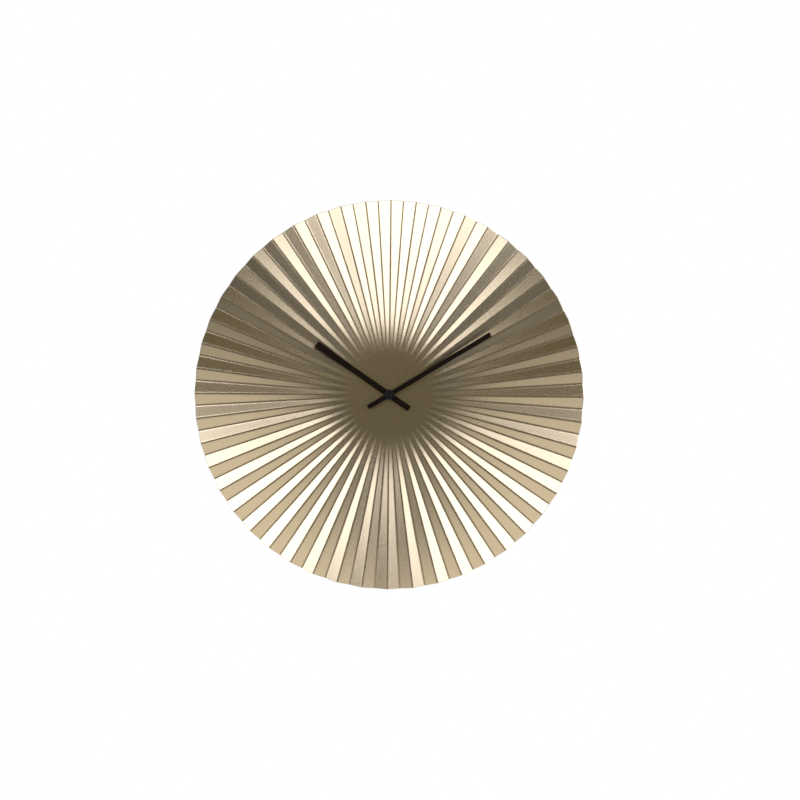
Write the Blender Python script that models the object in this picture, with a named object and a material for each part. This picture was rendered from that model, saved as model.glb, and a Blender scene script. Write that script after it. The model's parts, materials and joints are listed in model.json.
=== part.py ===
"""Sunburst wall clock: a pleated sheet-metal dial on a battery quartz movement, with two baton hands.

The frame: +X is to the right seen from the front, +Z is up, and the dial faces -Y. The wall is the plane
y = 0, and the origin is where the hands' axis meets it. Lengths are in millimetres, and MM turns them into
metres. A depth is a distance out from the wall, and a place is (x, z). Outlines are lists of (x, z) that run
anticlockwise seen from the front.
"""

import math

import bmesh
import bpy

MM = 0.001
FIT = 0.3  # clearance between pieces that touch or turn in each other

# Dial: a flat centre, and straight folds that rise from its edge.
DIAL_RADIUS = 200.0
DIAL_THICKNESS = 0.8
PLEATS = 48
RIM_TILT = math.radians(21.5)  # how steep a facet is at the rim
FLAT_RADIUS = 40.0
DIAL_TURN = math.radians(0.55)  # clockwise, from a ridge at 12 o'clock

# Hands, which read about ten past ten. Angles are clockwise from 12 o'clock.
MINUTE_ANGLE = math.radians(59.2)
HOUR_ANGLE = math.radians(300) + MINUTE_ANGLE / 12
MINUTE_WIDTH, MINUTE_TIP, MINUTE_TAIL = 4.8, 121.0, 25.0
HOUR_WIDTH, HOUR_TIP, HOUR_TAIL = 5.9, 91.0, 25.0
EYE_RADIUS = 4.5
HAND_THICKNESS = 0.5
CAP_RADIUS = 4.8
NUT_ACROSS_FLATS = 10.2

# Movement case, with the battery bay along its lower side.
CASE_HALF = 28.0
CASE_CORNER = 4.0
CASE_WALL = 1.2
CASE_REAR, CASE_FRONT = 1.9, 16.0
FRONT_WALL = 1.0
COVER_THICKNESS = 1.6
BAY_WALL_LOW, BAY_WALL_HIGH = -11.6, -10.6
CELL_RADIUS, CELL_LENGTH = 7.2, 50.5
CELL_DEPTH, CELL_Z = 7.6, -19.2

# Depths of the stack that clamps the dial to the case.
HANGER_REAR, HANGER_FRONT = 16.3, 17.1
RUBBER_REAR, RUBBER_FRONT = 17.4, 18.4
DIAL_DEPTH = 19.1
WASHER_REAR, WASHER_FRONT = 19.8, 20.3
NUT_REAR, NUT_FRONT = 20.6, 22.4
BUSHING_FRONT = 22.9
HOUR_HAND_DEPTH, HOUR_PIPE_FRONT = 23.6, 24.3
MINUTE_HAND_DEPTH, MINUTE_PIPE_FRONT = 25.2, 26.0
CAP_REAR, CAP_FRONT = 25.8, 27.9

THREAD_RADIUS = 3.8
HOUR_PIPE_RADIUS = 2.5
MINUTE_PIPE_RADIUS = 1.6
ARBOR_RADIUS = 0.5
KNOB_SHAFT_RADIUS = 1.1
MAGNET_RADIUS = 2.8
PIVOT_REAR = 2.2

# Places of the arbors. The hands' axis is at (0, 0).
CENTRE = (0.0, 0.0)
THIRD = (-8.1, 0.0)
FIFTH = (0.0, 7.35)
ROTOR = (3.15, 12.8)
MOTION = (9.6, 0.0)

# Gear modules, from the distance between each pair of arbors.
CENTRE_TEETH, THIRD_TEETH, SECONDS_TEETH, FIFTH_TEETH = 45, 48, 36, 30
TRAIN_LEAVES = 6
CANNON_LEAVES, MOTION_TEETH, MOTION_LEAVES, HOUR_TEETH = 12, 36, 10, 40

# Depths of the train's layers, from the rear: (rear face, front face).
FIFTH_LAYER = (4.2, 4.9)
SECONDS_LAYER = (5.3, 6.0)
THIRD_LAYER = (6.4, 7.1)
BRIDGE_LAYER = (7.6, 8.4)
CENTRE_LAYER = (8.8, 9.5)
PLATE_LAYER = (9.9, 10.7)
MOTION_LAYER = (11.1, 11.8)
HOUR_LAYER = (12.3, 13.0)
STATOR_LAYER = (5.7, 6.5)
CORE_LAYER = (6.8, 7.6)
BOARD_LAYER = (3.4, 4.2)
COIL_Z = 20.5

PLATE_POSTS = [(-14.0, -7.2), (16.5, -7.2), (-14.0, 12.6), (16.5, 12.6)]
COIL_POSTS = [(-14.9, 17.2), (14.9, 17.2)]


# Outlines


def circle(radius, place=CENTRE, points=32):
    """A round outline."""
    x, z = place
    angles = [math.tau * k / points for k in range(points)]
    return [(x + radius * math.cos(a), z + radius * math.sin(a)) for a in angles]


def rectangle(x_low, z_low, x_high, z_high):
    return [(x_low, z_low), (x_high, z_low), (x_high, z_high), (x_low, z_high)]


def rounded_rectangle(x_low, z_low, x_high, z_high, corner, arc_points=5):
    """A rectangle whose corners are quarter circles."""
    centres = [
        (x_high - corner, z_high - corner),
        (x_low + corner, z_high - corner),
        (x_low + corner, z_low + corner),
        (x_high - corner, z_low + corner),
    ]
    outline = []
    for quarter, (x, z) in enumerate(centres):
        for k in range(arc_points):
            a = math.pi / 2 * (quarter + k / (arc_points - 1))
            outline.append((x + corner * math.cos(a), z + corner * math.sin(a)))
    return outline


def gear(module, teeth, phase, fullness, addendum, dedendum):
    """A gear outline with straight-sided teeth, the first of them centred at the angle phase.

    fullness is the part of the pitch that a tooth takes up at the pitch circle. The addendum and the
    dedendum are in modules.
    """
    pitch_radius = module * teeth / 2
    half = math.tau / teeth * fullness / 2
    tooth = [(-1.2, -dedendum), (-0.35, addendum), (0.35, addendum), (1.2, -dedendum)]
    outline = []
    for k in range(teeth):
        middle = phase + math.tau * k / teeth
        for side, rise in tooth:
            angle = middle + side * half
            radius = pitch_radius + rise * module
            outline.append((radius * math.cos(angle), radius * math.sin(angle)))
    return outline


def wheel_teeth(module, teeth, phase):
    return gear(module, teeth, phase, fullness=0.36, addendum=0.85, dedendum=0.9)


def pinion_leaves(module, leaves, phase):
    return gear(module, leaves, phase, fullness=0.26, addendum=0.5, dedendum=1.15)


def between(place, other):
    """The distance and the direction from one arbor to another."""
    across, up = other[0] - place[0], other[1] - place[1]
    return math.hypot(across, up), math.atan2(up, across)


def module_of(place, teeth, other, other_teeth):
    """The module that makes two gears meet at their pitch circles."""
    distance, _ = between(place, other)
    return 2 * distance / (teeth + other_teeth)


def meshed_phase(place, teeth, phase, other, other_teeth):
    """The phase that turns the other gear's gap to face this gear's tooth."""
    _, direction = between(place, other)
    teeth_past = (direction - phase) * teeth / math.tau
    return direction + math.pi - math.tau / other_teeth * (0.5 - teeth_past)


def baton(width, tip, tail, arc_points=9):
    """A straight hand with square ends and a round eye at its axis, pointing to 12 o'clock."""
    half = width / 2
    meets = math.asin(half / EYE_RADIUS)
    outline = [(-half, -tail), (half, -tail)]
    for k in range(arc_points):
        angle = -math.pi / 2 + meets + (math.pi - 2 * meets) * k / (arc_points - 1)
        outline.append((EYE_RADIUS * math.cos(angle), EYE_RADIUS * math.sin(angle)))
    outline += [(half, tip), (-half, tip)]
    for k in range(arc_points):
        angle = math.pi / 2 + meets + (math.pi - 2 * meets) * k / (arc_points - 1)
        outline.append((EYE_RADIUS * math.cos(angle), EYE_RADIUS * math.sin(angle)))
    return outline


# Solids, which are added to a bmesh so that one mesh can hold several


def add_plate(bm, loops, rear, front):
    """A flat plate between two depths. The first loop is its outline, and the others are its holes."""
    edges = []
    for loop in loops:
        verts = [bm.verts.new((x * MM, -rear * MM, z * MM)) for x, z in loop]
        edges += [bm.edges.new((verts[k - 1], verts[k])) for k in range(len(verts))]
    filled = bmesh.ops.triangle_fill(bm, edges=edges, use_beauty=True)
    faces = [part for part in filled["geom"] if isinstance(part, bmesh.types.BMFace)]
    extruded = bmesh.ops.extrude_face_region(bm, geom=faces)["geom"]
    moved = [part for part in extruded if isinstance(part, bmesh.types.BMVert)]
    bmesh.ops.translate(bm, verts=moved, vec=(0, (rear - front) * MM, 0))


def add_box(bm, x_range, z_range, depth_range):
    add_plate(bm, [rectangle(x_range[0], z_range[0], x_range[1], z_range[1])], *depth_range)


def add_turned(bm, profile, place=CENTRE, segments=24, closed=False):
    """A solid turned about the line through a place. The profile is a list of (radius, depth).

    An open profile starts and ends on the axis, at radius 0. A closed one makes a ring or a tube.
    """
    x, z = place
    rings = []
    for radius, depth in profile:
        if radius == 0:
            rings.append([bm.verts.new((x * MM, -depth * MM, z * MM))] * segments)
            continue
        angles = [math.tau * k / segments for k in range(segments)]
        rings.append(
            [
                bm.verts.new(((x + radius * math.cos(a)) * MM, -depth * MM, (z + radius * math.sin(a)) * MM))
                for a in angles
            ]
        )
    pairs = list(zip(rings, rings[1:]))
    if closed:
        pairs.append((rings[-1], rings[0]))
    for first, second in pairs:
        for k in range(segments):
            corners = [first[k - 1], first[k], second[k], second[k - 1]]
            bm.faces.new(list(dict.fromkeys(corners)))


def add_tube(bm, inner, outer, rear, front, place=CENTRE, segments=24):
    add_turned(bm, [(inner, rear), (outer, rear), (outer, front), (inner, front)], place, segments, True)


def add_rod(bm, radius, rear, front, place=CENTRE, segments=12):
    add_turned(bm, [(0, rear), (radius, rear), (radius, front), (0, front)], place, segments)


# Objects


def finished(name, fill, place=CENTRE):
    """An object whose mesh the function fill makes. Its origin is on the axis at a place."""
    bm = bmesh.new()
    fill(bm)
    bmesh.ops.recalc_face_normals(bm, faces=bm.faces)
    mesh = bpy.data.meshes.new(name)
    bm.to_mesh(mesh)
    bm.free()
    mesh.shade_smooth()
    mesh.set_sharp_from_angle(angle=math.radians(30))
    obj = bpy.data.objects.new(name, mesh)
    obj.location = (place[0] * MM, 0, place[1] * MM)
    bpy.context.scene.collection.objects.link(obj)
    return obj


def change(obj, operation, fill):
    """Joins the solids that fill makes to an object, or cuts them from it."""
    tool = finished(f"{obj.name}.{operation.lower()}{len(obj.modifiers)}", fill)
    tool.location = obj.location
    tool.hide_render = True
    tool.display_type = "WIRE"
    boolean = obj.modifiers.new(operation.title(), "BOOLEAN")
    boolean.operation = operation
    boolean.solver = "EXACT"
    boolean.object = tool


def join(obj, fill):
    change(obj, "UNION", fill)


def cut(obj, fill):
    change(obj, "DIFFERENCE", fill)


def paint(obj, colour, roughness, metallic=0.0):
    """Gives an object its own Principled material."""
    material = bpy.data.materials.new(obj.name)
    material.use_nodes = True
    shader = material.node_tree.nodes["Principled BSDF"]
    shader.inputs["Base Color"].default_value = (*colour, 1)
    shader.inputs["Roughness"].default_value = roughness
    shader.inputs["Metallic"].default_value = metallic
    obj.data.materials.append(material)


BLACK = (0.015, 0.014, 0.016)
CHAMPAGNE = (0.62, 0.52, 0.38)
BRASS = (0.75, 0.55, 0.25)
STEEL = (0.56, 0.57, 0.58)
COPPER = (0.72, 0.30, 0.14)
WHITE_PLASTIC = (0.80, 0.80, 0.77)


# Dial, hands and the parts that clamp them


def pleated_dial():
    """The sheet's folds run along radii: 48 ridges, 48 valleys, and twisted facets between them."""
    folds = 2 * PLEATS
    facet_angle = math.tau / folds
    rim_height = DIAL_RADIUS * facet_angle / 2 * math.tan(RIM_TILT)
    steps = 5
    growth = (DIAL_RADIUS / FLAT_RADIUS) ** (1 / steps)
    radii = [THREAD_RADIUS + FIT] + [FLAT_RADIUS * growth**k for k in range(steps + 1)]

    def fold_height(radius):
        return rim_height * max(radius - FLAT_RADIUS, 0) / (DIAL_RADIUS - FLAT_RADIUS)

    def ring(bm, radius, offset):
        verts = []
        for k in range(folds):
            angle = facet_angle * k - DIAL_TURN
            depth = DIAL_DEPTH + offset + fold_height(radius) * (1 if k % 2 == 0 else -1)
            across, up = radius * math.cos(angle), radius * math.sin(angle)
            verts.append(bm.verts.new((across * MM, -depth * MM, up * MM)))
        return verts

    def fill(bm):
        front = [ring(bm, radius, DIAL_THICKNESS / 2) for radius in radii]
        rear = [ring(bm, radius, -DIAL_THICKNESS / 2) for radius in radii]
        around = front + rear[::-1]
        for first, second in zip(around, around[1:] + around[:1]):
            for k in range(folds):
                corners = [first[k - 1], first[k], second[k], second[k - 1]]
                bm.faces.new(corners[:3])
                bm.faces.new(corners[2:] + corners[:1])

    paint(finished("pleated_dial", fill), CHAMPAGNE, roughness=0.25, metallic=1.0)


def hand(name, width, tip, tail, bore, depth, angle):
    def fill(bm):
        rear = depth - HAND_THICKNESS / 2
        add_plate(bm, [baton(width, tip, tail), circle(bore, points=24)], rear, rear + HAND_THICKNESS)

    obj = finished(name, fill)
    obj.rotation_euler = (0, angle, 0)
    paint(obj, BLACK, roughness=0.35)


def hands():
    bore = HOUR_PIPE_RADIUS + FIT
    hand("hour_hand", HOUR_WIDTH, HOUR_TIP, HOUR_TAIL, bore, HOUR_HAND_DEPTH, HOUR_ANGLE)
    bore = MINUTE_PIPE_RADIUS + FIT
    hand("minute_hand", MINUTE_WIDTH, MINUTE_TIP, MINUTE_TAIL, bore, MINUTE_HAND_DEPTH, MINUTE_ANGLE)


def centre_cap():
    """The closed cap nut on the end of the minute pipe."""
    bore = MINUTE_PIPE_RADIUS + FIT
    bore_front = CAP_FRONT - 0.9
    rim_front = CAP_FRONT - 0.7

    def fill(bm):
        outside = [(CAP_RADIUS, CAP_REAR), (CAP_RADIUS, rim_front), (CAP_RADIUS - 0.5, CAP_FRONT - 0.2)]
        inside = [(0, bore_front), (bore, bore_front), (bore, CAP_REAR)]
        add_turned(bm, inside + outside + [(CAP_RADIUS / 2, CAP_FRONT), (0, CAP_FRONT)], segments=32)

    paint(finished("centre_cap", fill), BLACK, roughness=0.3)


def clamping_stack():
    """From the wall outwards: bushing, rubber washer, brass washer and hex nut."""
    bore = HOUR_PIPE_RADIUS + FIT
    hole = THREAD_RADIUS + FIT
    flange_radius, rubber_radius, brass_radius = 6.0, 9.0, 4.9
    flange_front = CASE_FRONT - FRONT_WALL - FIT
    flange_rear = flange_front - 0.8

    def bushing(bm):
        profile = [(bore, flange_rear), (flange_radius, flange_rear), (flange_radius, flange_front)]
        profile += [(THREAD_RADIUS, flange_front), (THREAD_RADIUS, BUSHING_FRONT), (bore, BUSHING_FRONT)]
        add_turned(bm, profile, closed=True)

    def rubber(bm):
        add_tube(bm, hole, rubber_radius, RUBBER_REAR, RUBBER_FRONT)

    def brass(bm):
        add_tube(bm, hole, brass_radius, WASHER_REAR, WASHER_FRONT)

    def nut(bm):
        corner_radius = NUT_ACROSS_FLATS / math.sqrt(3)
        upright = [(-z, x) for x, z in circle(corner_radius, points=6)]
        add_plate(bm, [upright, circle(hole, points=24)], NUT_REAR, NUT_FRONT)

    paint(finished("threaded_bushing", bushing), BRASS, roughness=0.3, metallic=1.0)
    paint(finished("rubber_washer", rubber), BLACK, roughness=0.8)
    paint(finished("brass_washer", brass), BRASS, roughness=0.3, metallic=1.0)
    paint(finished("hex_nut", nut), BLACK, roughness=0.35, metallic=1.0)


def hanger_bracket():
    """A steel strap clamped in front of the case, bent back over its top to a keyhole tab at the wall."""
    half_width = 12.0
    bottom, top = -12.0, 46.0
    leg_low = CASE_HALF + 0.5
    thickness = HANGER_FRONT - HANGER_REAR
    tab_rear = 1.0
    keyhole_z, keyhole_radius, slot_half, slot_top = 35.5, 4.6, 2.5, 42.5

    def fill(bm):
        side = [
            (HANGER_REAR, bottom),
            (HANGER_FRONT, bottom),
            (HANGER_FRONT, leg_low + thickness),
            (tab_rear + thickness, leg_low + thickness),
            (tab_rear + thickness, top),
            (tab_rear, top),
            (tab_rear, leg_low),
            (HANGER_REAR, leg_low),
        ]
        ends = [
            [bm.verts.new((x * MM, -depth * MM, z * MM)) for depth, z in side]
            for x in (-half_width, half_width)
        ]
        bm.faces.new(ends[0])
        bm.faces.new(ends[1][::-1])
        for k in range(len(side)):
            bm.faces.new([ends[0][k - 1], ends[0][k], ends[1][k], ends[1][k - 1]])

    def shaft_hole(bm):
        add_plate(bm, [circle(THREAD_RADIUS + FIT)], HANGER_REAR - 1, HANGER_FRONT + 1)

    def keyhole(bm):
        meets = math.acos(slot_half / keyhole_radius)
        sweep = math.pi + 2 * meets
        arc = [math.pi - meets + sweep * k / 20 for k in range(21)]
        outline = [
            (keyhole_radius * math.cos(a), keyhole_z + keyhole_radius * math.sin(a)) for a in arc
        ]
        for k in range(9):
            angle = math.pi * k / 8
            up = slot_top - slot_half + slot_half * math.sin(angle)
            outline.append((slot_half * math.cos(angle), up))
        add_plate(bm, [outline], tab_rear - 1, tab_rear + thickness + 1)

    bracket = finished("hanger_bracket", fill)
    cut(bracket, shaft_hole)
    cut(bracket, keyhole)
    paint(bracket, STEEL, roughness=0.35, metallic=1.0)


# Movement housing


def movement_case():
    """A tub that is open to the wall: the works above, the battery bay below, posts for the plates."""
    inner = CASE_HALF - CASE_WALL
    floor = CASE_FRONT - FRONT_WALL
    slot_x = (inner - 1.6, inner - 0.2)  # slots in the bay's wall, for the contacts
    slot_depths = (4.1, 8.9)
    post_radius = 1.4
    boss_radius, boss_bore, boss_height = 1.7, 0.9, 1.5

    def block(bm):
        outline = rounded_rectangle(-CASE_HALF, -CASE_HALF, CASE_HALF, CASE_HALF, CASE_CORNER)
        add_plate(bm, [outline], CASE_REAR, CASE_FRONT)

    def rooms(bm):
        corner = CASE_CORNER - CASE_WALL
        works = rounded_rectangle(-inner, BAY_WALL_HIGH, inner, inner, corner)
        bay = rounded_rectangle(-inner, -inner, inner, BAY_WALL_LOW, corner)
        add_plate(bm, [works], 0, floor)
        add_plate(bm, [bay], 0, floor)

    def openings(bm):
        add_rod(bm, THREAD_RADIUS + FIT, floor - 1, CASE_FRONT + 1, segments=24)
        for low, high in (slot_x, (-slot_x[1], -slot_x[0])):
            add_box(bm, (low, high), (BAY_WALL_LOW - 1, BAY_WALL_HIGH + 1), slot_depths)

    def posts(bm):
        root = floor + 0.4
        for place in PLATE_POSTS:
            add_rod(bm, post_radius, PLATE_LAYER[1] + FIT, root, place)
        for place in COIL_POSTS:
            add_rod(bm, post_radius, STATOR_LAYER[1] + FIT, root, place)
        bore = [(0, floor - 0.2), (boss_bore, floor - 0.2), (boss_bore, floor - boss_height)]
        outside = [(boss_radius, floor - boss_height), (boss_radius, root), (0, root)]
        add_turned(bm, bore + outside, MOTION)

    case = finished("movement_case", block)
    cut(case, rooms)
    cut(case, openings)
    join(case, posts)
    paint(case, BLACK, roughness=0.5)


def rear_cover():
    """The plate against the wall, with a window for the cell, a hole for the knob and pivot bosses."""
    half = CASE_HALF - FIT
    window = rounded_rectangle(-25.7, -26.4, 25.7, -12.0, 1.5)
    knob_hole = circle(6.6, MOTION, 40)
    boss_radius, boss_front = 1.5, 3.6
    root = COVER_THICKNESS - 0.4
    clip_front = 5.0

    def sheet(bm):
        outline = rounded_rectangle(-half, -half, half, half, CASE_CORNER)
        add_plate(bm, [outline, window, knob_hole], 0, COVER_THICKNESS)

    def bosses(bm):
        for place in (CENTRE, THIRD, FIFTH, ROTOR):
            blind = ARBOR_RADIUS + FIT
            bore = [(0, PIVOT_REAR - FIT), (blind, PIVOT_REAR - FIT), (blind, boss_front)]
            outside = [(boss_radius, boss_front), (boss_radius, root), (0, root)]
            add_turned(bm, bore + outside, place, segments=16)

    def clips(bm):
        for low, high in ((-26.5, -25.9), (25.9, 26.5)):
            for z in (2.0, 18.0):
                add_box(bm, (low, high), (z - 3, z + 3), (root, clip_front))

    cover = finished("rear_cover", sheet)
    join(cover, bosses)
    join(cover, clips)
    paint(cover, BLACK, roughness=0.55)


def movement_plates():
    """The train plate carries the hands' side, and the rotor bridge is spaced behind it by its studs."""
    low, high = (-16.0, -8.9), (18.2, 15.0)
    outline = rounded_rectangle(*low, *high, 2.0)
    pivot = ARBOR_RADIUS + FIT
    stud_radius = 1.2
    knob_hole = circle(KNOB_SHAFT_RADIUS + FIT, MOTION, 16)

    def train_plate(bm):
        holes = [circle(MINUTE_PIPE_RADIUS + FIT, points=24), circle(pivot, THIRD, 12), knob_hole]
        add_plate(bm, [outline] + holes, *PLATE_LAYER)

    def rotor_bridge(bm):
        holes = [circle(pivot, place, 12) for place in (CENTRE, THIRD, FIFTH, ROTOR)]
        add_plate(bm, [outline, knob_hole] + holes, *BRIDGE_LAYER)

    def studs(bm):
        for place in PLATE_POSTS:
            add_rod(bm, stud_radius, BRIDGE_LAYER[1] - 0.3, PLATE_LAYER[0] - FIT, place)

    paint(finished("train_plate", train_plate), WHITE_PLASTIC, roughness=0.5)
    bridge = finished("rotor_bridge", rotor_bridge)
    join(bridge, studs)
    paint(bridge, WHITE_PLASTIC, roughness=0.5)


# Gear train, which is worked out from the centre wheel to the rotor, and from the centre to the hour wheel


def arbor(name, place, wheel, layer, pinion, pinion_depths, shaft_depths, colour):
    """A moulded arbor: a wheel, a pinion and a thin shaft in one piece."""
    obj = finished(name, lambda bm: add_plate(bm, [wheel], *layer), place)
    join(obj, lambda bm: add_plate(bm, [pinion], *pinion_depths))
    join(obj, lambda bm: add_rod(bm, ARBOR_RADIUS, *shaft_depths))
    paint(obj, colour, roughness=0.4)


def gear_train():
    centre_module = module_of(CENTRE, CENTRE_TEETH, THIRD, TRAIN_LEAVES)
    third_module = module_of(THIRD, THIRD_TEETH, CENTRE, TRAIN_LEAVES)
    seconds_module = module_of(CENTRE, SECONDS_TEETH, FIFTH, TRAIN_LEAVES)
    fifth_module = module_of(FIFTH, FIFTH_TEETH, ROTOR, TRAIN_LEAVES)
    third_phase = meshed_phase(CENTRE, CENTRE_TEETH, 0, THIRD, TRAIN_LEAVES)
    seconds_phase = meshed_phase(THIRD, THIRD_TEETH, 0, CENTRE, TRAIN_LEAVES)
    fifth_phase = meshed_phase(CENTRE, SECONDS_TEETH, 0, FIFTH, TRAIN_LEAVES)
    rotor_phase = meshed_phase(FIFTH, FIFTH_TEETH, 0, ROTOR, TRAIN_LEAVES)
    seat = MINUTE_PIPE_RADIUS + FIT
    bridge_front = BRIDGE_LAYER[1] - 0.1

    def centre_wheel(bm):
        teeth = wheel_teeth(centre_module, CENTRE_TEETH, 0)
        add_plate(bm, [teeth, circle(seat, points=24)], *CENTRE_LAYER)

    paint(finished("centre_wheel", centre_wheel), WHITE_PLASTIC, roughness=0.4)
    arbor(
        "third_wheel",
        THIRD,
        wheel_teeth(third_module, THIRD_TEETH, 0),
        THIRD_LAYER,
        pinion_leaves(centre_module, TRAIN_LEAVES, third_phase),
        (CENTRE_LAYER[0] - 0.1, CENTRE_LAYER[1] + 0.2),
        (PIVOT_REAR, PLATE_LAYER[1] - 0.1),
        WHITE_PLASTIC,
    )
    arbor(
        "seconds_wheel",
        CENTRE,
        wheel_teeth(seconds_module, SECONDS_TEETH, 0),
        SECONDS_LAYER,
        pinion_leaves(third_module, TRAIN_LEAVES, seconds_phase),
        (SECONDS_LAYER[1] - 0.3, THIRD_LAYER[1] + 0.2),
        (PIVOT_REAR, MINUTE_PIPE_FRONT + 0.3),
        WHITE_PLASTIC,
    )
    arbor(
        "fifth_wheel",
        FIFTH,
        wheel_teeth(fifth_module, FIFTH_TEETH, 0),
        FIFTH_LAYER,
        pinion_leaves(seconds_module, TRAIN_LEAVES, fifth_phase),
        (FIFTH_LAYER[1] - 0.3, SECONDS_LAYER[1] + 0.2),
        (PIVOT_REAR, bridge_front),
        WHITE_PLASTIC,
    )

    def rotor_pinion(bm):
        leaves = pinion_leaves(fifth_module, TRAIN_LEAVES, rotor_phase)
        add_plate(bm, [leaves], FIFTH_LAYER[0] - 0.3, FIFTH_LAYER[1] + 0.2)

    rotor = finished("rotor_pinion", rotor_pinion, ROTOR)
    join(rotor, lambda bm: add_rod(bm, ARBOR_RADIUS, PIVOT_REAR, bridge_front))
    paint(rotor, WHITE_PLASTIC, roughness=0.4)

    def magnet(bm):
        depths = (FIFTH_LAYER[1] + 0.5, STATOR_LAYER[1] + 0.5)
        add_tube(bm, ARBOR_RADIUS + FIT, MAGNET_RADIUS, *depths)

    paint(finished("rotor_magnet", magnet, ROTOR), (0.08, 0.08, 0.09), roughness=0.4, metallic=0.8)


def motion_work():
    """The minute pipe drives the hour wheel through the motion wheel, which the setting knob also turns."""
    cannon_module = module_of(CENTRE, CANNON_LEAVES, MOTION, MOTION_TEETH)
    hour_module = module_of(MOTION, MOTION_LEAVES, CENTRE, HOUR_TEETH)
    wheel_phase = meshed_phase(CENTRE, CANNON_LEAVES, 0, MOTION, MOTION_TEETH)
    hour_phase = meshed_phase(MOTION, MOTION_LEAVES, 0, CENTRE, HOUR_TEETH)
    pipe_bore = ARBOR_RADIUS + 0.25
    cannon_bore = MINUTE_PIPE_RADIUS - 0.4  # inside the pipe's wall, so that the two join
    hour_bore = HOUR_PIPE_RADIUS - 0.3
    pin_radius = 0.65
    knob_bore = pin_radius + FIT
    knob_rear, knob_front, knob_radius = 0.5, 2.6, 6.1
    pinion_front = HOUR_LAYER[1] + 0.2

    def minute_pipe(bm):
        add_tube(bm, pipe_bore, MINUTE_PIPE_RADIUS, BRIDGE_LAYER[1] + 0.2, MINUTE_PIPE_FRONT)

    def cannon(bm):
        leaves = pinion_leaves(cannon_module, CANNON_LEAVES, 0)
        add_plate(bm, [leaves, circle(cannon_bore, points=24)], MOTION_LAYER[0] - 0.1, MOTION_LAYER[1] + 0.2)

    def hour_wheel(bm):
        teeth = wheel_teeth(hour_module, HOUR_TEETH, hour_phase)
        add_plate(bm, [teeth, circle(hour_bore, points=24)], *HOUR_LAYER)

    def hour_pipe(bm):
        add_tube(bm, MINUTE_PIPE_RADIUS + FIT, HOUR_PIPE_RADIUS, HOUR_LAYER[0] + 0.2, HOUR_PIPE_FRONT)

    def motion_wheel(bm):
        teeth = wheel_teeth(cannon_module, MOTION_TEETH, wheel_phase)
        add_plate(bm, [teeth, circle(knob_bore, points=16)], *MOTION_LAYER)

    def motion_pinion(bm):
        leaves = pinion_leaves(hour_module, MOTION_LEAVES, 0)
        add_plate(bm, [leaves, circle(knob_bore, points=16)], MOTION_LAYER[0] + 0.3, pinion_front)

    def setting_knob(bm):
        shoulder = PLATE_LAYER[1] + 0.1
        end = CASE_FRONT - FRONT_WALL - 0.5
        grip = [(0, knob_rear), (knob_radius - 0.5, knob_rear), (knob_radius, knob_rear + 0.4)]
        grip += [(knob_radius, knob_front - 0.4), (knob_radius - 0.5, knob_front)]
        shaft = [(KNOB_SHAFT_RADIUS, knob_front), (KNOB_SHAFT_RADIUS, shoulder)]
        pin = [(pin_radius, shoulder), (pin_radius, end), (0, end)]
        add_turned(bm, grip + shaft + pin, segments=24)

    pipe = finished("minute_pipe", minute_pipe)
    join(pipe, cannon)
    paint(pipe, BRASS, roughness=0.3, metallic=1.0)
    hour = finished("hour_wheel", hour_wheel)
    join(hour, hour_pipe)
    paint(hour, WHITE_PLASTIC, roughness=0.4)
    motion = finished("motion_wheel", motion_wheel, MOTION)
    join(motion, motion_pinion)
    paint(motion, WHITE_PLASTIC, roughness=0.4)
    paint(finished("setting_knob", setting_knob, MOTION), WHITE_PLASTIC, roughness=0.45)


# Motor, electronics and battery


def lay_along_x(obj, z, depth):
    """Turns a solid of revolution so that its own front points to +X, at a height and a depth."""
    obj.rotation_euler = (0, 0, math.pi / 2)
    obj.location = (0, -depth * MM, z * MM)


def stepping_motor():
    """A stator plate round the rotor's magnet, and a coil on a core that closes the iron circuit."""
    arm_inner, arm_outer = 12.8, 17.0
    bar_low, bar_high = ROTOR[1] - 2.0, ROTOR[1] + 2.0
    hole_radius = MAGNET_RADIUS + 0.5
    core_half_height = 1.2
    coil_depth = sum(CORE_LAYER) / 2
    spool_half = 11.0
    flange = 0.8
    bore, barrel, rim = 1.6, 2.0, 3.8

    def stator(bm):
        arm_top = COIL_Z + core_half_height
        outline = [
            (-arm_outer, bar_low),
            (arm_outer, bar_low),
            (arm_outer, arm_top),
            (arm_inner, arm_top),
            (arm_inner, bar_high),
            (-arm_inner, bar_high),
            (-arm_inner, arm_top),
            (-arm_outer, arm_top),
        ]
        add_plate(bm, [outline], *STATOR_LAYER)

    def rotor_ring(bm):
        add_rod(bm, hole_radius + 1.0, STATOR_LAYER[0], STATOR_LAYER[1], ROTOR, segments=32)

    def rotor_hole(bm):
        add_rod(bm, hole_radius, STATOR_LAYER[0] - 1, STATOR_LAYER[1] + 1, ROTOR, segments=32)

    def core(bm):
        height = (COIL_Z - core_half_height, COIL_Z + core_half_height)
        add_box(bm, (-arm_outer + 0.4, arm_outer - 0.4), height, CORE_LAYER)

    def bobbin(bm):
        profile = [(bore, -spool_half), (rim, -spool_half), (rim, flange - spool_half)]
        profile += [(barrel, flange - spool_half), (barrel, spool_half - flange)]
        profile += [(rim, spool_half - flange), (rim, spool_half), (bore, spool_half)]
        add_turned(bm, profile, closed=True)

    def winding(bm):
        half = spool_half - flange - FIT
        add_tube(bm, barrel + FIT, rim - FIT, -half, half)

    plate = finished("stator_plate", stator)
    join(plate, rotor_ring)
    cut(plate, rotor_hole)
    paint(plate, STEEL, roughness=0.4, metallic=1.0)
    paint(finished("coil_core", core), STEEL, roughness=0.4, metallic=1.0)
    spool = finished("coil_bobbin", bobbin)
    lay_along_x(spool, COIL_Z, coil_depth)
    paint(spool, WHITE_PLASTIC, roughness=0.5)
    wire = finished("coil_winding", winding)
    lay_along_x(wire, COIL_Z, coil_depth)
    paint(wire, COPPER, roughness=0.35, metallic=1.0)


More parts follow.
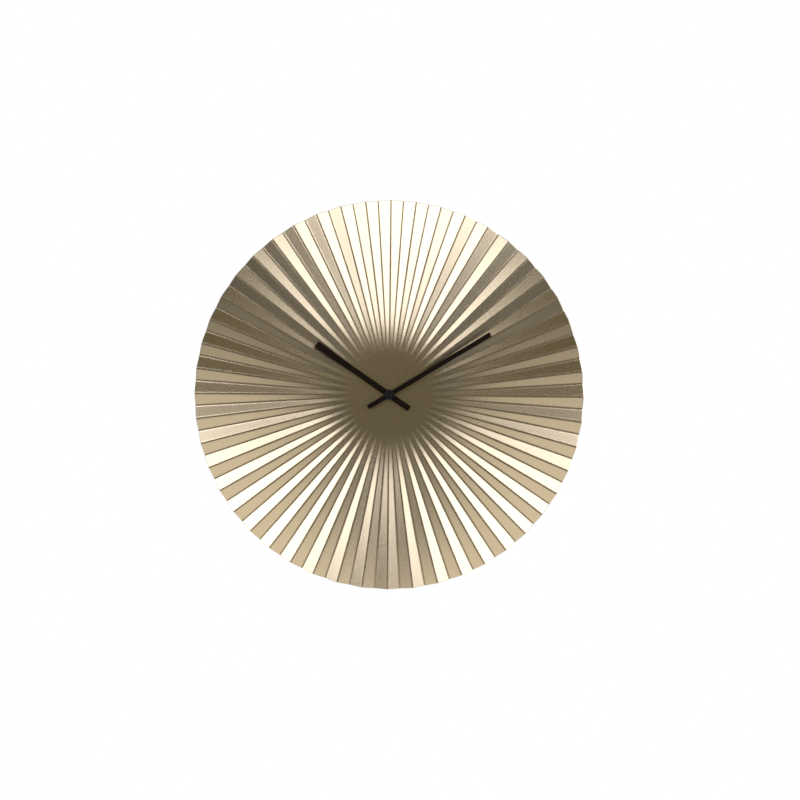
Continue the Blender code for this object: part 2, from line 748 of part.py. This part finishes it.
def electronics():
    """The circuit board stands beside the works, with the chip behind it and the crystal in front."""
    board_x, board_z = (18.6, 25.4), (-10.0, 21.0)
    middle = sum(board_x) / 2
    chip_z, crystal_z, crystal_radius, crystal_length = 9.0, 0.0, 1.1, 7.0

    def chip(bm):
        rear = BOARD_LAYER[0] - FIT
        profile = [(0, rear - 0.8), (1.2, rear - 0.7), (2.0, rear - 0.4), (2.3, rear), (0, rear)]
        add_turned(bm, profile, (middle, chip_z), segments=16)

    def crystal(bm):
        add_rod(bm, crystal_radius, 0, crystal_length, segments=16)

    paint(
        finished("circuit_board", lambda bm: add_box(bm, board_x, board_z, BOARD_LAYER)),
        (0.03, 0.16, 0.07),
        roughness=0.4,
    )
    paint(finished("timer_chip", chip), BLACK, roughness=0.3)
    can = finished("quartz_crystal", crystal)
    can.rotation_euler = (-math.pi / 2, 0, 0)
    can.location = (middle * MM, -(BOARD_LAYER[1] + FIT + crystal_radius) * MM, crystal_z * MM)
    paint(can, STEEL, roughness=0.25, metallic=1.0)


def battery():
    """One cell, with a flat contact strip at each end that runs up to the board."""
    half = CELL_LENGTH / 2
    nub_length, nub_radius = 1.2, 2.75
    strip = 0.4
    strip_depths = (4.5, 8.5)
    end_z = (CELL_Z - 4.0, -9.4)
    rail_z = (-9.8, -9.4)
    positive_x = half + FIT
    negative_x = -half - FIT

    def cell(bm):
        shoulder = half - nub_length
        profile = [(0, -half), (CELL_RADIUS - 0.6, -half), (CELL_RADIUS, -half + 0.6)]
        profile += [(CELL_RADIUS, shoulder - 0.6), (CELL_RADIUS - 0.6, shoulder)]
        profile += [(nub_radius, shoulder), (nub_radius, half), (0, half)]
        add_turned(bm, profile, segments=32)

    def positive(bm):
        add_box(bm, (positive_x, positive_x + strip), end_z, strip_depths)

    def positive_tab(bm):
        add_box(bm, (22.0, positive_x + strip / 2), rail_z, strip_depths)

    def negative(bm):
        add_box(bm, (negative_x - strip, negative_x), end_z, strip_depths)

    def negative_rail(bm):
        add_box(bm, (negative_x - strip / 2, 20.5), rail_z, strip_depths)

    body = finished("battery_cell", cell)
    lay_along_x(body, CELL_Z, CELL_DEPTH)
    paint(body, (0.10, 0.12, 0.14), roughness=0.35, metallic=0.3)
    plus = finished("contact_positive", positive)
    join(plus, positive_tab)
    paint(plus, STEEL, roughness=0.3, metallic=1.0)
    minus = finished("contact_negative", negative)
    join(minus, negative_rail)
    paint(minus, STEEL, roughness=0.3, metallic=1.0)


def main():
    for obj in list(bpy.data.objects):
        bpy.data.objects.remove(obj)
    pleated_dial()
    hands()
    centre_cap()
    clamping_stack()
    hanger_bracket()
    movement_case()
    rear_cover()
    movement_plates()
    gear_train()
    motion_work()
    stepping_motor()
    electronics()
    battery()


main()
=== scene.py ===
"""Sunburst wall clock: the fine shapes, materials, light and camera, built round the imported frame.

Lengths are in metres. The clock's axis is the Y axis, the dial faces -Y, and +Z is up.
"""

import json
import math

import bmesh
import bpy
from mathutils import Matrix, Vector


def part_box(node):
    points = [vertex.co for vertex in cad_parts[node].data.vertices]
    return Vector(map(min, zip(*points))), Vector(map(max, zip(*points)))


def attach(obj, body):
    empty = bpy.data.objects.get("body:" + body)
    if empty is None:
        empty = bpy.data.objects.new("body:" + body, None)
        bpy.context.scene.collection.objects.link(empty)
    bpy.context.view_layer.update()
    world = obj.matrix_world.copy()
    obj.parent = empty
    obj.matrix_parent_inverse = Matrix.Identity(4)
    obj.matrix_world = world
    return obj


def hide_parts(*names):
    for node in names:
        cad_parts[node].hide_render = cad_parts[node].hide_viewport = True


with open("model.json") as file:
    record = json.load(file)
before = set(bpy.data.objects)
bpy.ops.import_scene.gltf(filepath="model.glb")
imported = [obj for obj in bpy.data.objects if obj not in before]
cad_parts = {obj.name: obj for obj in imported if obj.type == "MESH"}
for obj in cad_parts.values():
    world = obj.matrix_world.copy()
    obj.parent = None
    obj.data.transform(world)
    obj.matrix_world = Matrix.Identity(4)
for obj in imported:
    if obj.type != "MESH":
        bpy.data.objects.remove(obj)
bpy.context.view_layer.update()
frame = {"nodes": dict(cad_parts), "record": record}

MM = 0.001
NODES = frame["nodes"]
SLOT_OF = {entry["node"]: entry["material_slot"] for entry in frame["record"]["subparts"]}
BODY_OF = {node: body for body, nodes in frame["record"]["behaviour"]["bodies"].items() for node in nodes}
DIAL_LOW, DIAL_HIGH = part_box("pleated_dial")
DIAL_RADIUS = DIAL_HIGH.x
DIAL_MIDDLE = (DIAL_LOW.y + DIAL_HIGH.y) / 2


# Materials


class Surface:
    """A Principled material built up from noise patterns that are measured in metres."""

    def __init__(self, name, colour, roughness, metallic=0.0):
        self.material = bpy.data.materials.new(name)
        self.material.use_nodes = True
        self.tree = self.material.node_tree
        self.shader = self.tree.nodes["Principled BSDF"]
        self.colour = colour
        self.roughness = roughness
        self.shader.inputs["Metallic"].default_value = metallic
        self.place = self.add("ShaderNodeTexCoord").outputs["Object"]

    def add(self, kind, **settings):
        node = self.tree.nodes.new(kind)
        for key, value in settings.items():
            setattr(node, key, value)
        return node

    def link(self, output, socket):
        self.tree.links.new(output, socket)

    def noise(self, size, detail=3.0, stretch=(1, 1, 1)):
        """Noise whose blots are about this size, drawn out along an axis where stretch is small."""
        mapping = self.add("ShaderNodeMapping")
        mapping.inputs["Scale"].default_value = stretch
        self.link(self.place, mapping.inputs["Vector"])
        noise = self.add("ShaderNodeTexNoise")
        noise.inputs["Scale"].default_value = 1 / size
        noise.inputs["Detail"].default_value = detail
        self.link(mapping.outputs["Vector"], noise.inputs["Vector"])
        return noise.outputs["Fac"]

    def ranged(self, value, low, high):
        """The middle of a noise's range, spread over low to high."""
        spread = self.add("ShaderNodeMapRange")
        spread.inputs["From Min"].default_value = 0.3
        spread.inputs["From Max"].default_value = 0.7
        spread.inputs["To Min"].default_value = low
        spread.inputs["To Max"].default_value = high
        self.link(value, spread.inputs["Value"])
        return spread.outputs["Result"]

    def vary_colour(self, pattern, other):
        """Mixes the surface's own colour with another one by a pattern."""
        mix = self.add("ShaderNodeMix", data_type="RGBA")
        mix.inputs["A"].default_value = (*self.colour, 1)
        mix.inputs["B"].default_value = (*other, 1)
        self.link(self.ranged(pattern, 0, 1), mix.inputs["Factor"])
        self.link(mix.outputs["Result"], self.shader.inputs["Base Color"])
        return self

    def vary_roughness(self, pattern, by):
        low, high = self.roughness - by, self.roughness + by
        self.link(self.ranged(pattern, low, high), self.shader.inputs["Roughness"])
        return self

    def relief(self, pattern, height):
        bump = self.add("ShaderNodeBump")
        bump.inputs["Distance"].default_value = height
        self.link(pattern, bump.inputs["Height"])
        self.link(bump.outputs["Normal"], self.shader.inputs["Normal"])
        return self

    def specular(self, level, tint):
        self.shader.inputs["Specular IOR Level"].default_value = level
        self.shader.inputs["Specular Tint"].default_value = (*tint, 1)
        return self


def darker(colour, share):
    return tuple(channel * share for channel in colour)


def champagne_metal():
    """Satin anodised sheet: nearly even, with a fine grain that softens the reflections."""
    gold = (0.80, 0.66, 0.46)
    surface = Surface("champagne_metal", gold, roughness=0.27, metallic=1.0)
    surface.vary_colour(surface.noise(0.05, detail=2), darker(gold, 0.96))
    surface.vary_roughness(surface.noise(0.0003), 0.01)
    return surface.relief(surface.noise(0.00025, detail=1), 0.0000008).material


def blackened(name, colour, roughness, level, tint):
    """Thin black paint or oxide, with a weak sheen of its own tint."""
    surface = Surface(name, colour, roughness)
    surface.vary_colour(surface.noise(0.004), darker(colour, 0.6))
    surface.specular(level, tint)
    surface.vary_roughness(surface.noise(0.0005), 0.06)
    return surface.relief(surface.noise(0.0003, detail=1), 0.000004).material


def moulded_plastic(name, colour, roughness):
    """Injection-moulded plastic with the fine spark-eroded texture of its tool."""
    surface = Surface(name, colour, roughness)
    surface.vary_colour(surface.noise(0.02), darker(colour, 0.88))
    surface.vary_roughness(surface.noise(0.001), 0.06)
    return surface.relief(surface.noise(0.0004, detail=2), 0.00002).material


def brushed(name, colour, roughness, stretch=(0.06, 1, 1)):
    """Rolled or turned metal with fine marks along one axis."""
    surface = Surface(name, colour, roughness, metallic=1.0)
    surface.vary_colour(surface.noise(0.01), darker(colour, 0.85))
    marks = surface.noise(0.0003, stretch=stretch)
    surface.vary_roughness(marks, 0.08)
    return surface.relief(marks, 0.000006).material


def sintered(name, colour):
    surface = Surface(name, colour, roughness=0.5, metallic=0.7)
    surface.vary_colour(surface.noise(0.0006), darker(colour, 0.6))
    return surface.relief(surface.noise(0.0002, detail=1), 0.00001).material


MATERIALS = {
    "champagne_metal": champagne_metal(),
    "black_metal": blackened("black_paint", (0.006, 0.004, 0.003), 0.42, 0.16, (1.0, 0.70, 0.50)),
    "black_plastic": moulded_plastic("black_plastic", (0.020, 0.020, 0.022), 0.50),
    "white_plastic": moulded_plastic("white_plastic", (0.80, 0.80, 0.77), 0.42),
    "brass": brushed("brass", (0.75, 0.55, 0.25), 0.30),
    "steel": brushed("steel", (0.56, 0.57, 0.58), 0.34, stretch=(1, 1, 0.05)),
    "copper": brushed("copper", (0.72, 0.30, 0.14), 0.34, stretch=(1, 0.05, 0.05)),
    "magnet": sintered("magnet", (0.08, 0.08, 0.09)),
    "rubber": moulded_plastic("rubber", (0.020, 0.020, 0.020), 0.80),
    "board": moulded_plastic("board", (0.03, 0.16, 0.07), 0.38),
    "cell": moulded_plastic("cell_sleeve", (0.06, 0.08, 0.10), 0.30),
}
CAP_BLACK = blackened("cap_paint", (0.009, 0.010, 0.010), 0.36, 0.14, (1.0, 0.95, 0.80))
NUT_BLACK = blackened("black_oxide", (0.020, 0.024, 0.026), 0.34, 0.5, (1.0, 1.0, 0.90))
CELL_BAND = moulded_plastic("cell_band", (0.55, 0.36, 0.20), 0.30)


# Ways to build a piece


def piece(name, bm, node, material=None, stands=True, sharp=30):
    """A visible piece on a CAD node's body. It has the node's finish unless it is given another
    one, and it stands in the node's place unless it only adds to a piece that does."""
    bmesh.ops.recalc_face_normals(bm, faces=bm.faces)
    mesh = bpy.data.meshes.new(name)
    bm.to_mesh(mesh)
    bm.free()
    mesh.shade_smooth()
    mesh.set_sharp_from_angle(angle=math.radians(sharp))
    mesh.materials.append(material or MATERIALS[SLOT_OF[node]])
    obj = bpy.data.objects.new(name, mesh)
    bpy.context.scene.collection.objects.link(obj)
    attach(obj, BODY_OF[node])
    if stands:
        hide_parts(node)
    return obj


def spans(node):
    """A node's greatest distance from the hands' axis sideways, and its rear and front depths."""
    low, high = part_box(node)
    return high.x, -high.y, -low.y


def ring(bm, radius, depth, place=(0, 0), points=96):
    """A ring about the Y axis. Its radius and its depth may be functions of the angle."""
    verts = []
    for k in range(points):
        angle = math.tau * k / points
        r = radius(angle) if callable(radius) else radius
        d = depth(angle) if callable(depth) else depth
        verts.append(bm.verts.new((place[0] + r * math.cos(angle), -d, place[1] + r * math.sin(angle))))
    return verts


def skin(bm, rings):
    """Joins rings, each to the next, and closes both ends."""
    for first, second in zip(rings, rings[1:]):
        for k in range(len(first)):
            bm.faces.new([first[k - 1], first[k], second[k], second[k - 1]])
    bm.faces.new(rings[0])
    bm.faces.new(rings[-1])


def bridge(bm, rings):
    """Joins rings of the same number of points, each to the next, and the last to the first."""
    for first, second in zip(rings, rings[1:] + rings[:1]):
        for k in range(len(first)):
            bm.faces.new([first[k - 1], first[k], second[k], second[k - 1]])


def flat_faced(obj):
    """Keeps a piece's big faces flat in the light while its rounded edges stay smooth."""
    normals = obj.modifiers.new("flat_faces", "WEIGHTED_NORMAL")
    normals.keep_sharp = True
    return obj


def softened(node, width):
    """A copy of a CAD node with its sharp edges rounded off."""
    bm = bmesh.new()
    bm.from_mesh(NODES[node].data)
    bmesh.ops.remove_doubles(bm, verts=bm.verts, dist=0.01 * MM)
    bmesh.ops.dissolve_limit(bm, angle_limit=math.radians(2), verts=bm.verts, edges=bm.edges)
    sharp = math.radians(35)
    edges = [edge for edge in bm.edges if len(edge.link_faces) == 2 and edge.calc_face_angle() > sharp]
    rounding = {"offset": width, "offset_type": "OFFSET", "segments": 2, "profile": 0.5}
    bmesh.ops.bevel(bm, geom=edges, affect="EDGES", clamp_overlap=True, **rounding)
    return flat_faced(piece(f"{node}_rounded", bm, node))


def cut_out(obj, bm):
    """Cuts the solids in a bmesh out of a piece for good."""
    bmesh.ops.recalc_face_normals(bm, faces=bm.faces)
    mesh = bpy.data.meshes.new("cutter")
    bm.to_mesh(mesh)
    bm.free()
    cutter = bpy.data.objects.new("cutter", mesh)
    bpy.context.scene.collection.objects.link(cutter)
    obj.modifiers.clear()
    boolean = obj.modifiers.new("cut", "BOOLEAN")
    boolean.solver = "EXACT"
    boolean.object = cutter
    obj.data = bpy.data.meshes.new_from_object(obj.evaluated_get(bpy.context.evaluated_depsgraph_get()))
    obj.modifiers.clear()
    bpy.data.objects.remove(cutter)
    flat_faced(obj)


def prism(bm, outline, rear, front):
    """A solid between two depths. Its outline is a list of (x, z)."""
    skin(bm, [[bm.verts.new((x, -depth, z)) for x, z in outline] for depth in (rear, front)])


def ridged(radius, depth, height, pitch):
    """The radius of a screw thread at a depth, as a function of the angle."""

    def at(angle):
        turns = (depth / pitch - angle / math.tau) % 1
        flank = 1.5 * abs(2 * turns - 1) - 0.25  # cut off at 0 and 1, for a flat root and crest
        return radius - height + height * min(max(flank, 0), 1)

    return at


def lie_along_x(bm, node):
    """Turns what was built about the Y axis to lie along X, through the middle of a node."""
    low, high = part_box(node)
    bmesh.ops.rotate(bm, verts=bm.verts, cent=(0, 0, 0), matrix=Matrix.Rotation(math.radians(90), 3, "Z"))
    bmesh.ops.translate(bm, verts=bm.verts, vec=(0, (low.y + high.y) / 2, (low.z + high.z) / 2))


# The pieces


def pleated_dial():
    """The pressed sheet: 48 ridges and 48 valleys with rounded folds, rising from a flat centre."""
    folds = 96
    facet_angle = math.tau / folds
    turn = math.radians(0.55)  # clockwise, from a ridge at 12 o'clock
    thickness = 0.8 * MM
    rim_slope = math.tan(math.radians(21.5))
    bend = 1.4 * MM  # half the width of a rounded fold
    flat_radius = 40 * MM
    fold_spots = (-1.4, -1.0, -0.5, 0.0, 0.5, 1.0, 1.4)  # across a fold, in half widths

    steps = 36
    growth = (DIAL_RADIUS / flat_radius) ** (1 / steps)
    hole_radius, edge_start = 4.1 * MM, DIAL_RADIUS - 0.3 * MM
    radii = [hole_radius, flat_radius / 2] + [flat_radius * growth**k for k in range(steps)] + [edge_start]

    def drop(distance, width):
        """How far the sheet has come down from a ridge, at a distance from it."""
        return distance if distance >= width else (width * width + distance * distance) / (2 * width)

    def pleat_ring(radius, offset):
        """One ring of points on a face of the sheet, offset from its middle surface."""
        rise = max(radius - flat_radius, 0) / (DIAL_RADIUS - flat_radius)
        slope = rim_slope * rise * DIAL_RADIUS / radius
        facet = radius * facet_angle
        width = min(bend, facet * 0.16)
        spots = [spot * width for spot in fold_spots] + [facet / 2]
        verts = []
        for k in range(folds):
            sign = 1 if k % 2 == 0 else -1
            for spot in spots:
                height = sign * slope * (facet / 2 - drop(abs(spot), width))
                angle = facet_angle * k + spot / radius - turn
                y = DIAL_MIDDLE - height - offset
                verts.append(bm.verts.new((radius * math.cos(angle), y, radius * math.sin(angle))))
        return verts

    bm = bmesh.new()
    half = thickness / 2
    edge_radius = 0.2 * MM
    front = [pleat_ring(radius, half) for radius in radii]
    edge = [pleat_ring(DIAL_RADIUS, half - edge_radius), pleat_ring(DIAL_RADIUS, edge_radius - half)]
    rear = [pleat_ring(radius, -half) for radius in reversed(radii)]
    bridge(bm, front + edge + rear)
    piece("dial_sheet", bm, "pleated_dial")


def centre_cap():
    """A cap nut with a rounded rim and a low dome, bored from behind."""
    radius, rear, front = spans("centre_cap")
    bore, ceiling = 1.9 * MM, front - 0.9 * MM
    fillet, crown, chamfer = 0.5 * MM, 0.4 * MM, 0.2 * MM
    shoulder = front - crown - fillet
    inner = radius - fillet
    bm = bmesh.new()
    rings = [ring(bm, bore, ceiling), ring(bm, bore, rear)]
    rings += [ring(bm, radius - chamfer, rear), ring(bm, radius, rear + chamfer)]
    for k in range(7):
        turn = math.pi / 2 * k / 6
        rings.append(ring(bm, inner + fillet * math.cos(turn), shoulder + fillet * math.sin(turn)))
    for k in range(1, 8):
        share = 1 - k / 7.5
        rings.append(ring(bm, inner * share, front - crown * share * share))
    skin(bm, rings)
    piece("cap_dome", bm, "centre_cap", CAP_BLACK, sharp=45)


def hex_nut():
    """The nut's corners point up and down, and both of its faces are chamfered."""
    flat, rear, front = spans("hex_nut")
    bore, edge = 4.1 * MM, 0.3 * MM
    face = flat * 0.97

    def side(angle):
        return flat / math.cos((angle + math.pi / 6) % (math.pi / 3) - math.pi / 6)

    def fall(angle):
        return (side(angle) - face) * math.tan(math.radians(30))

    bm = bmesh.new()
    rings = [
        ring(bm, bore, rear + edge),
        ring(bm, bore + edge, rear),
        ring(bm, face, rear),
        ring(bm, side, lambda angle: rear + fall(angle)),
        ring(bm, side, lambda angle: front - fall(angle)),
        ring(bm, face, front),
        ring(bm, bore + edge, front),
        ring(bm, bore, front - edge),
    ]
    bridge(bm, rings)
    piece("nut_chamfered", bm, "hex_nut", NUT_BLACK)


def threaded_bushing():
    """A flanged neck with a real screw thread along it."""
    flange, rear, front = spans("threaded_bushing")
    radius, bore, pitch = 3.8 * MM, 2.8 * MM, 0.75 * MM
    flange_front = rear + 0.8 * MM
    thread_depth = 0.4 * MM
    bm = bmesh.new()
    rings = [ring(bm, bore, rear), ring(bm, flange, rear), ring(bm, flange, flange_front)]
    steps = 80
    for k in range(steps + 1):
        depth = flange_front + (front - thread_depth - flange_front) * k / steps
        rings.append(ring(bm, ridged(radius, depth, thread_depth, pitch), depth))
    rings += [ring(bm, radius - thread_depth, front), ring(bm, bore, front)]
    bridge(bm, rings)
    piece("bushing_thread", bm, "threaded_bushing")


def setting_knob():
    """A knob with a grooved rim and a dished face, on its shaft and pin."""
    low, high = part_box("setting_knob")
    place = ((low.x + high.x) / 2, (low.z + high.z) / 2)
    radius, rear, end = (high.x - low.x) / 2, -high.y, -low.y
    front = rear + 2.1 * MM
    shaft, shoulder, pin = 1.1 * MM, 10.8 * MM, 0.65 * MM
    dish, edge, bevel = 0.5 * MM, 0.4 * MM, 0.5 * MM
    grooves, groove_depth = 24, 0.2 * MM

    def rim(inset):
        return lambda angle: radius - inset - groove_depth * (0.5 - 0.5 * math.cos(grooves * angle))

    profile = [
        (radius * 0.60, rear + dish),
        (radius * 0.68, rear),
        (rim(bevel), rear),
        (rim(0), rear + edge),
        (rim(0), front - edge),
        (rim(bevel), front),
        (shaft, front),
        (shaft, shoulder),
        (pin, shoulder),
        (pin, end),
    ]
    bm = bmesh.new()
    skin(bm, [ring(bm, across, depth, place, points=192) for across, depth in profile])
    piece("knob_grooved", bm, "setting_knob")


def rear_cover():
    """The cover, with engraved signs by the cell's ends and an arrow round the knob."""
    cover = softened("rear_cover", 0.15 * MM)
    low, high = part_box("setting_knob")
    knob_x, knob_z = (low.x + high.x) / 2, (low.z + high.z) / 2
    outside, bottom = -0.2 * MM, 0.3 * MM  # the engraving is cut from just outside the cover
    half, arm = 0.35 * MM, 2.0 * MM
    sign_x, sign_z = 21.0 * MM, -8.6 * MM

    bm = bmesh.new()
    plus = [(half, half), (half, arm), (-half, arm), (-half, half), (-arm, half), (-arm, -half)]
    plus += [(-x, -z) for x, z in plus]
    prism(bm, [(sign_x + x, sign_z + z) for x, z in plus], outside, bottom)
    minus = [(-arm, -half), (arm, -half), (arm, half), (-arm, half)]
    prism(bm, [(x - sign_x, sign_z + z) for x, z in minus], outside, bottom)

    inner, outer, barb = 7.7 * MM, 8.5 * MM, 0.9 * MM
    start, end, head = math.radians(-40), math.radians(175), math.radians(12)
    turns = [start + (end - start) * k / 24 for k in range(25)]
    arrow = [(outer, a) for a in turns] + [(outer + barb, end), ((inner + outer) / 2, end + head)]
    arrow += [(inner - barb, end)] + [(inner, a) for a in reversed(turns)]
    prism(bm, [(knob_x + r * math.cos(a), knob_z + r * math.sin(a)) for r, a in arrow], outside, bottom)
    cut_out(cover, bm)


def battery_cell():
    """A can with a nub at +X and a dished end at -X, in a sleeve with a band at the nub's end."""
    low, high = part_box("battery_cell")
    radius, half = (high.z - low.z) / 2, high.x
    shoulder = half - 1.2 * MM
    band_end = shoulder - 14 * MM
    can = radius - 0.25 * MM
    edge = 0.4 * MM
    nub = 2.75 * MM
    gap, taper = 0.03 * MM, 0.1 * MM

    def turned(name, profile, join, material, stands=False):
        bm = bmesh.new()
        join(bm, [ring(bm, across, depth) for across, depth in profile])
        lie_along_x(bm, "battery_cell")
        piece(name, bm, "battery_cell", material, stands)

    dish = [(3.4 * MM, 0.3 * MM - half), (3.9 * MM, -half), (can - edge, -half), (can, edge - half)]
    dome = [(can, shoulder - edge), (can - edge, shoulder)]
    button = [(nub, shoulder), (nub, half - edge), (nub - edge, half)]
    turned("cell_can", dish + dome + button, skin, MATERIALS["steel"], stands=True)

    def wrap(name, start, end, material):
        inside = can + gap
        corners = [(inside, start), (radius, start + taper), (radius, end - taper), (inside, end)]
        turned(name, corners, bridge, material)

    wrap("cell_sleeve", 0.9 * MM - half, band_end, MATERIALS["cell"])
    wrap("cell_band", band_end + gap, shoulder - edge, CELL_BAND)


def coil_winding():
    """The winding's outside shows its turns of wire."""
    low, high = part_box("coil_winding")
    radius, half, bore = (high.z - low.z) / 2, high.x, 2.3 * MM
    wire = 0.3 * MM
    steps = 4 * round(2 * half / wire)
    bm = bmesh.new()
    rings = [ring(bm, bore, -half, points=48)]
    for k in range(steps + 1):
        depth = half * (2 * k / steps - 1)
        rings.append(ring(bm, ridged(radius, depth, wire / 2, wire), depth, points=48))
    rings.append(ring(bm, bore, half, points=48))
    bridge(bm, rings)
    lie_along_x(bm, "coil_winding")
    piece("winding_turns", bm, "coil_winding")


# Nodes whose shape changes only at its edges, with the width of the rounding in millimetres
EDGE_WIDTHS = {
    "hour_hand": 0.12,
    "minute_hand": 0.12,
    "brass_washer": 0.10,
    "rubber_washer": 0.20,
    "hanger_bracket": 0.15,
    "movement_case": 0.30,
    "train_plate": 0.10,
    "rotor_bridge": 0.10,
    "coil_core": 0.05,
    "coil_bobbin": 0.10,
    "circuit_board": 0.05,
    "timer_chip": 0.05,
    "quartz_crystal": 0.15,
    "rotor_magnet": 0.15,
    "contact_positive": 0.10,
    "contact_negative": 0.10,
}


# Stage


def softbox(name, place, size, power):
    """A rectangular light, in metres and watts, that faces the clock."""
    data = bpy.data.lights.new(name, "AREA")
    data.shape = "RECTANGLE"
    data.size, data.size_y = size
    data.energy = power
    light = bpy.data.objects.new(name, data)
    light.visible_camera = False
    bpy.context.scene.collection.objects.link(light)
    light.location = place
    light.rotation_euler = Vector(place).to_track_quat("Z", "Y").to_euler()
    return light


def key_light(name, across, up, size, power, roll):
    """A big cool softbox in front of the clock. Across and up are parts of its unit direction."""
    distance = 2.2
    forward = math.sqrt(1 - across * across - up * up)
    light = softbox(name, (distance * across, -distance * forward, distance * up), size, power)
    light.data.color = (0.97, 1.0, 1.12)
    light.rotation_euler.rotate_axis("Z", math.radians(roll))


def studio():
    """The camera sees white behind the clock, and the metal reflects a dim warm room."""
    world = bpy.data.worlds.new("studio")
    world.use_nodes = True
    tree = world.node_tree
    backdrop = tree.nodes["Background"]
    backdrop.inputs["Color"].default_value = (1, 1, 1, 1)
    backdrop.inputs["Strength"].default_value = 1.0
    dim = tree.nodes.new("ShaderNodeBackground")
    dim.inputs["Color"].default_value = (1.0, 0.81, 0.16, 1)
    dim.inputs["Strength"].default_value = 0.073
    path = tree.nodes.new("ShaderNodeLightPath")
    mix = tree.nodes.new("ShaderNodeMixShader")
    tree.links.new(path.outputs["Is Camera Ray"], mix.inputs["Fac"])
    tree.links.new(dim.outputs["Background"], mix.inputs[1])
    tree.links.new(backdrop.outputs["Background"], mix.inputs[2])
    tree.links.new(mix.outputs["Shader"], tree.nodes["World Output"].inputs["Surface"])
    bpy.context.scene.world = world

    key_light("key_right", 0.837, 0.295, (3.4, 2.1), 47.0, 4)
    key_light("key_left", -0.624, 0.347, (1.9, 1.65), 21.5, -27)
    softbox("rear_fill", (0.0, 1.6, 0.9), (1.6, 1.2), 24.0)
    softbox("rear_side", (-1.5, 1.4, 0.2), (1.2, 1.2), 16.0)


def level_sheet(name, low, high, level, material):
    """A flat sheet at one level, between two corners (x, y), that isn't part of the clock."""
    bm = bmesh.new()
    corners = [(low[0], low[1]), (high[0], low[1]), (high[0], high[1]), (low[0], high[1])]
    bm.faces.new([bm.verts.new((x, y, level)) for x, y in corners])
    mesh = bpy.data.meshes.new(name)
    bm.to_mesh(mesh)
    bm.free()
    mesh.materials.append(material)
    obj = bpy.data.objects.new(name, mesh)
    bpy.context.scene.collection.objects.link(obj)
    return obj


def floor():
    """Pale paper that glows a little, so low that the main camera looks over it."""
    pale = (0.80, 0.79, 0.77)
    surface = Surface("floor_paper", pale, roughness=0.7)
    surface.vary_colour(surface.noise(0.3), darker(pale, 0.98))
    surface.shader.inputs["Emission Color"].default_value = (1, 1, 1, 1)
    surface.shader.inputs["Emission Strength"].default_value = 0.8
    level = -0.9
    sheet = level_sheet("floor", (-2.6, -2.6), (2.6, 1.4), level, surface.material)
    sheet.visible_glossy = False


def reflector():
    """A glowing card below the clock that only the metal sees. It fades out away from the wall."""
    level, back, brightest_spot = -0.31, -0.03, (-0.04, 0.30)
    material = bpy.data.materials.new("reflector_card")
    material.use_nodes = True
    tree = material.node_tree
    tree.nodes.clear()
    place = tree.nodes.new("ShaderNodeTexCoord")
    away = tree.nodes.new("ShaderNodeVectorMath")
    away.operation = "DISTANCE"
    away.inputs[1].default_value = (*brightest_spot, level)
    tree.links.new(place.outputs["Object"], away.inputs[0])
    fade = tree.nodes.new("ShaderNodeMapRange")
    fade.interpolation_type = "SMOOTHSTEP"
    fade.inputs["From Min"].default_value = 0.535
    fade.inputs["From Max"].default_value = 1.07
    fade.inputs["To Min"].default_value = 0.86
    fade.inputs["To Max"].default_value = 0.06
    tree.links.new(away.outputs["Value"], fade.inputs["Value"])
    glow = tree.nodes.new("ShaderNodeEmission")
    glow.inputs["Color"].default_value = (1.0, 0.97, 0.89, 1)
    tree.links.new(fade.outputs["Result"], glow.inputs["Strength"])
    output = tree.nodes.new("ShaderNodeOutputMaterial")
    tree.links.new(glow.outputs["Emission"], output.inputs["Surface"])
    card = level_sheet("reflector", (-1.6, -2.4), (1.6, back), level, material)
    card.visible_camera = False
    card.visible_diffuse = False
    card.visible_shadow = False


def camera():
    """Square on to the dial, with a small shift that puts the clock where the picture has it."""
    distance = 1.300
    data = bpy.data.cameras.new("camera")
    data.sensor_width = 36
    data.lens = 56.8
    data.shift_x = 0.0136
    data.shift_y = -0.0065
    obj = bpy.data.objects.new("camera", data)
    bpy.context.scene.collection.objects.link(obj)
    obj.location = (0, DIAL_MIDDLE - distance, 0)
    obj.rotation_euler = Matrix.Rotation(math.radians(90), 3, "X").to_euler()
    bpy.context.scene.camera = obj


def colour_management():
    bpy.context.scene.view_settings.view_transform = "Standard"


for node, obj in NODES.items():
    obj.data.materials.clear()
    obj.data.materials.append(MATERIALS[SLOT_OF[node]])

for node, width in EDGE_WIDTHS.items():
    softened(node, width * MM)

pleated_dial()
centre_cap()
hex_nut()
threaded_bushing()
rear_cover()
setting_knob()
battery_cell()
coil_winding()
floor()
reflector()
studio()
camera()
colour_management()
